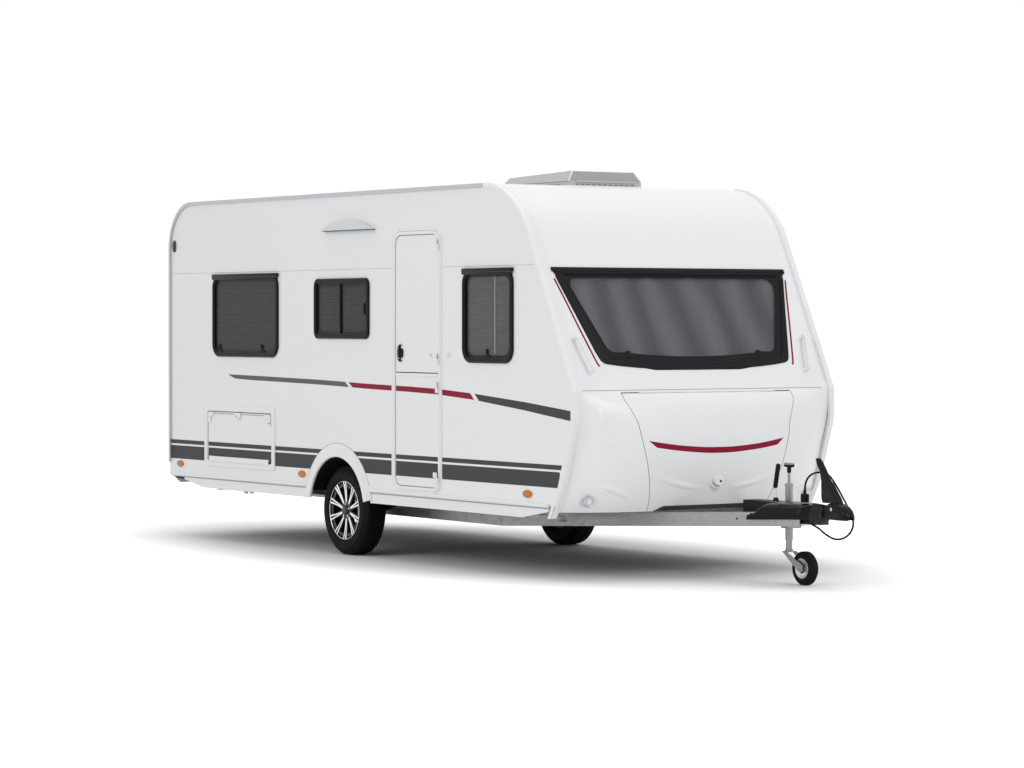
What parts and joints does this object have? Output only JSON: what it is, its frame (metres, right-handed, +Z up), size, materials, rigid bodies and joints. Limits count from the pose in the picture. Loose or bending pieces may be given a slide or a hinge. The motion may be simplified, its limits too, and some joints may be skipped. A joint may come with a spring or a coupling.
{
  "type": "travel caravan",
  "caption": "Single-axle travel caravan with a two-part entrance door, tinted windows, a gas locker nose, corner steadies and a jockey wheel on an A-frame drawbar.",
  "frame": {"origin": "on the ground below the middle of the caravan's whole length and width", "axes": "+X forward to the coupling, +Y to the left, +Z up"},
  "size_m": [6.937, 2.143, 2.634],
  "materials": {
    "white_skin": "smooth gloss coat",
    "roof_skin": "satin coat",
    "floor_board": "dark sealed ply",
    "white_trim": "moulded white",
    "rail_metal": "anodised",
    "black_frame": "moulded black",
    "tinted_pane": "tinted acrylic",
    "blind_cloth": "pleated cloth",
    "grey_moulding": "grey moulding",
    "orange_lens": "clear orange",
    "red_lens": "clear red",
    "clear_lens": "clear lens",
    "galvanised": "hot dip zinc",
    "dark_steel": "black coat",
    "alloy": "polished face",
    "tyre_rubber": "matt rubber",
    "black_rubber": "matt",
    "black_moulding": "fine grain"
  },
  "bodies": {
    "body": {"side_wall_right": "white_skin", "side_wall_left": "white_skin", "rear_wall": "white_skin", "front_wall": "white_skin", "nose_panel": "white_skin", "roof_panel": "roof_skin", "floor_panel": "floor_board", "gas_locker_box": "floor_board", "corner_trims": "white_trim", "side_skirts": "white_trim", "wheel_arch_trims": "white_trim", "door_frame": "white_trim", "service_hatch_frame": "white_trim", "awning_light": "white_trim", "grab_handles": "white_trim", "rear_bumper": "white_trim", "awning_rails": "rail_metal", "window_frames": "black_frame", "front_window_frame": "black_frame", "window_panes": "tinted_pane", "front_window_pane": "tinted_pane", "window_blinds": "blind_cloth", "roof_hatch_base": "grey_moulding", "marker_lamps": "orange_lens", "rear_lamps": "red_lens", "front_lamps": "clear_lens", "chassis_rail_right": "galvanised", "chassis_rail_left": "galvanised", "chassis_crossmembers": "galvanised", "axle_tube": "galvanised", "jockey_clamp": "galvanised", "swing_arms": "dark_steel", "overrun_housing": "dark_steel", "coupling_head": "dark_steel", "drawbar_bellows": "black_rubber", "connecting_cable": "black_rubber", "wheel_boxes": "black_moulding", "coupling_handle": "black_moulding", "handbrake_lever": "black_moulding", "drawbar_cover": "black_moulding", "connecting_plug": "black_moulding"},
    "door_upper": {"door_upper": "white_skin"},
    "door_lower": {"door_lower": "white_skin"},
    "service_hatch": {"service_hatch_door": "white_skin"},
    "gas_locker_lid": {"gas_locker_lid": "white_skin"},
    "roof_hatch_lid": {"roof_hatch_lid": "grey_moulding"},
    "wheel_right": {"tyre_right": "tyre_rubber", "rim_right": "alloy"},
    "wheel_left": {"tyre_left": "tyre_rubber", "rim_left": "alloy"},
    "jockey_outer": {"jockey_outer_tube": "galvanised"},
    "jockey_inner": {"jockey_inner_tube": "galvanised"},
    "jockey_fork": {"jockey_fork": "galvanised"},
    "jockey_wheel": {"jockey_tyre": "tyre_rubber", "jockey_rim": "galvanised"},
    "steady_front_right": {"steady_leg_front_right": "galvanised"},
    "steady_front_left": {"steady_leg_front_left": "galvanised"},
    "steady_rear_right": {"steady_leg_rear_right": "galvanised"},
    "steady_rear_left": {"steady_leg_rear_left": "galvanised"}
  },
  "joints": [
    {"name": "wheel_right_spin", "type": "hinge", "parent": "body", "child": "wheel_right", "pos_m": [-0.895, -0.9025, 0.311], "axis": [0, 1, 0], "continuous": true},
    {"name": "wheel_left_spin", "type": "hinge", "parent": "body", "child": "wheel_left", "pos_m": [-0.895, 0.9025, 0.311], "axis": [0, 1, 0], "continuous": true},
    {"name": "door_upper_hinge", "type": "hinge", "parent": "body", "child": "door_upper", "pos_m": [0.434, -1.061, 1.7], "axis": [0, 0, 1], "range_deg": [0, 165]},
    {"name": "door_lower_hinge", "type": "hinge", "parent": "body", "child": "door_lower", "pos_m": [0.434, -1.061, 0.9], "axis": [0, 0, 1], "range_deg": [0, 165]},
    {"name": "service_hatch_hinge", "type": "hinge", "parent": "body", "child": "service_hatch", "pos_m": [-2.3205, -1.0533, 0.593], "axis": [1, 0, 0], "range_deg": [0, 110]},
    {"name": "gas_locker_lid_hinge", "type": "hinge", "parent": "body", "child": "gas_locker_lid", "pos_m": [2.014, 0, 1.186], "axis": [0, -1, 0], "range_deg": [0, 75]},
    {"name": "roof_hatch_hinge", "type": "hinge", "parent": "body", "child": "roof_hatch_lid", "pos_m": [0.878, 0, 2.564], "axis": [0, 1, 0], "range_deg": [0, 50]},
    {"name": "jockey_clamp_slide", "type": "slide", "parent": "body", "child": "jockey_outer", "axis": [0, 0, 1], "range_m": [0, 0.08]},
    {"name": "jockey_spindle_slide", "type": "slide", "parent": "jockey_outer", "child": "jockey_inner", "axis": [0, 0, 1], "range_m": [-0.1, 0.045]},
    {"name": "jockey_swivel", "type": "hinge", "parent": "jockey_inner", "child": "jockey_fork", "pos_m": [2.717, 0.105, 0.2], "axis": [0, 0, 1], "continuous": true},
    {"name": "jockey_wheel_spin", "type": "hinge", "parent": "jockey_fork", "child": "jockey_wheel", "pos_m": [2.877, 0.105, 0.105], "axis": [0, 1, 0], "continuous": true},
    {"name": "steady_front_right_hinge", "type": "hinge", "parent": "body", "child": "steady_front_right", "pos_m": [1.105, -0.78, 0.372], "axis": [0, 1, 0], "range_deg": [0, 52]},
    {"name": "steady_front_left_hinge", "type": "hinge", "parent": "body", "child": "steady_front_left", "pos_m": [1.105, 0.78, 0.372], "axis": [0, 1, 0], "range_deg": [0, 52]},
    {"name": "steady_rear_right_hinge", "type": "hinge", "parent": "body", "child": "steady_rear_right", "pos_m": [-2.655, -0.78, 0.372], "axis": [0, -1, 0], "range_deg": [0, 52]},
    {"name": "steady_rear_left_hinge", "type": "hinge", "parent": "body", "child": "steady_rear_left", "pos_m": [-2.655, 0.78, 0.372], "axis": [0, -1, 0], "range_deg": [0, 52]}
  ]
}
